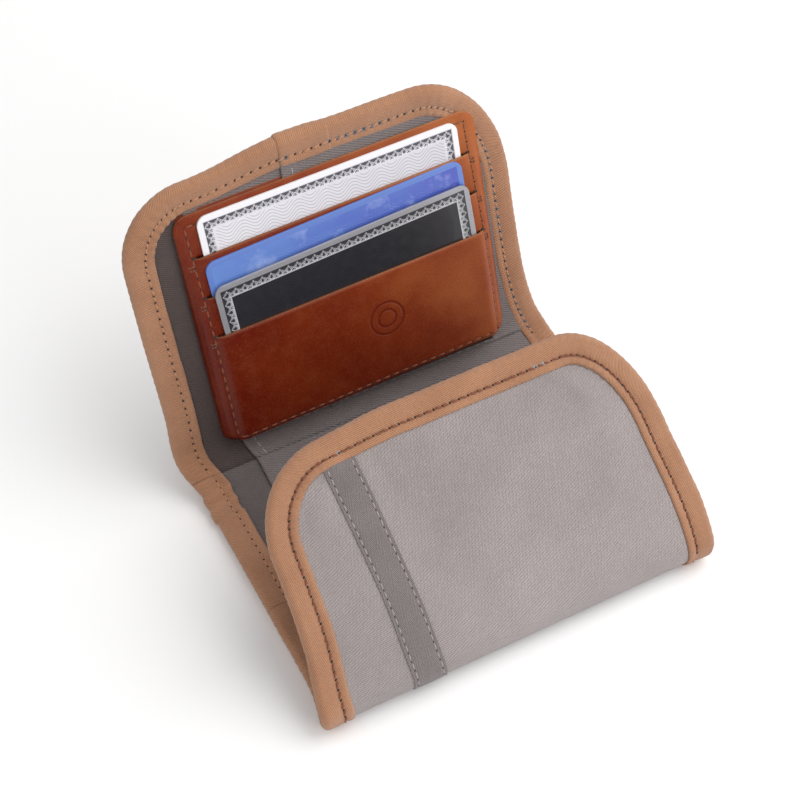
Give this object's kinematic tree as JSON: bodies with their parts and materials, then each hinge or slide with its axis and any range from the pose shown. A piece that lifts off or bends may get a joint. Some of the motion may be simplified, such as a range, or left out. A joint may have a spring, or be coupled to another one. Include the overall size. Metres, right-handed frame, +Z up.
{
  "type": "travel document organizer",
  "caption": "Folding canvas wallet for travel papers: bound leaves, inner pockets and a leather holder with cards that slide out of stepped slots.",
  "frame": {"origin": "centre of the middle leaf between its side bindings, on the underside that rests on the table", "axes": "+Z up, +X along the folds, +Y from the front flap's fold towards the leaf that stands up"},
  "size_m": [0.126, 0.1339, 0.1007],
  "materials": {
    "outer_canvas": "waxed plain-weave canvas, light satin sheen",
    "lining_canvas": "darker plain-weave canvas, matte",
    "binding_twill": "tan twill bias tape, soft sheen, stitched",
    "grey_tape": "woven tape with a stitch row along each edge",
    "pocket_canvas": "plain-weave canvas, matte",
    "holder_leather": "pull-up leather, warm brown, satin, raw pale edges",
    "liner_cloth": "thin woven liner",
    "white_card": "pale card with a plain printed frame",
    "blue_card": "card with a blue to violet gradient",
    "dark_card": "dark card with a grey rim"
  },
  "bodies": {
    "middle_leaf": {"middle_outer_canvas": "outer_canvas", "middle_lining": "lining_canvas", "middle_tape": "grey_tape", "middle_binding_left": "binding_twill", "middle_binding_right": "binding_twill", "middle_pocket": "pocket_canvas"},
    "upper_spine": {"upper_spine_outer_canvas": "outer_canvas", "upper_spine_lining": "lining_canvas", "upper_spine_tape": "grey_tape", "upper_spine_binding_left": "binding_twill", "upper_spine_binding_right": "binding_twill"},
    "top_leaf": {"top_outer_canvas": "outer_canvas", "top_lining": "lining_canvas", "top_tape": "grey_tape", "top_binding": "binding_twill", "binding_overlap": "binding_twill", "rear_pocket": "pocket_canvas", "front_pocket": "pocket_canvas", "holder_back": "holder_leather", "holder_front": "holder_leather", "upper_slot_liner": "liner_cloth", "middle_slot_liner": "liner_cloth", "lower_slot_liner": "liner_cloth"},
    "upper_card_body": {"upper_card": "white_card"},
    "middle_card_body": {"middle_card": "blue_card"},
    "lower_card_body": {"lower_card": "dark_card"},
    "lower_spine": {"lower_spine_outer_canvas": "outer_canvas", "lower_spine_lining": "lining_canvas", "lower_spine_tape": "grey_tape", "lower_spine_binding_left": "binding_twill", "lower_spine_binding_right": "binding_twill"},
    "flap_leaf": {"flap_outer_canvas": "outer_canvas", "flap_lining": "lining_canvas", "flap_tape": "grey_tape", "flap_binding": "binding_twill"}
  },
  "joints": [
    {"name": "upper_fold", "type": "hinge", "parent": "middle_leaf", "child": "upper_spine", "pos_m": [0, 0.0388, 0.0044], "axis": [1, 0, 0], "range_deg": [-30, 60]},
    {"name": "top_fold", "type": "hinge", "parent": "upper_spine", "child": "top_leaf", "pos_m": [0, 0.05127, 0.0116], "axis": [1, 0, 0], "range_deg": [-42, 48]},
    {"name": "lower_fold", "type": "hinge", "parent": "middle_leaf", "child": "lower_spine", "pos_m": [0, -0.0438, 0.0044], "axis": [-1, 0, 0], "range_deg": [-21, 42]},
    {"name": "flap_fold", "type": "hinge", "parent": "lower_spine", "child": "flap_leaf", "pos_m": [0, -0.04707, 0.00565], "axis": [-1, 0, 0], "range_deg": [-117, 0]},
    {"name": "upper_card_slide", "type": "slide", "parent": "top_leaf", "child": "upper_card_body", "axis": [0, 0.309, 0.9511], "range_m": [0, 0.038]},
    {"name": "middle_card_slide", "type": "slide", "parent": "top_leaf", "child": "middle_card_body", "axis": [0, 0.309, 0.9511], "range_m": [0, 0.038]},
    {"name": "lower_card_slide", "type": "slide", "parent": "top_leaf", "child": "lower_card_body", "axis": [0, 0.309, 0.9511], "range_m": [0, 0.034]}
  ],
  "couplings": [
    {"joint": "upper_fold", "follows": "lower_fold", "ratio": 1.4285}
  ]
}
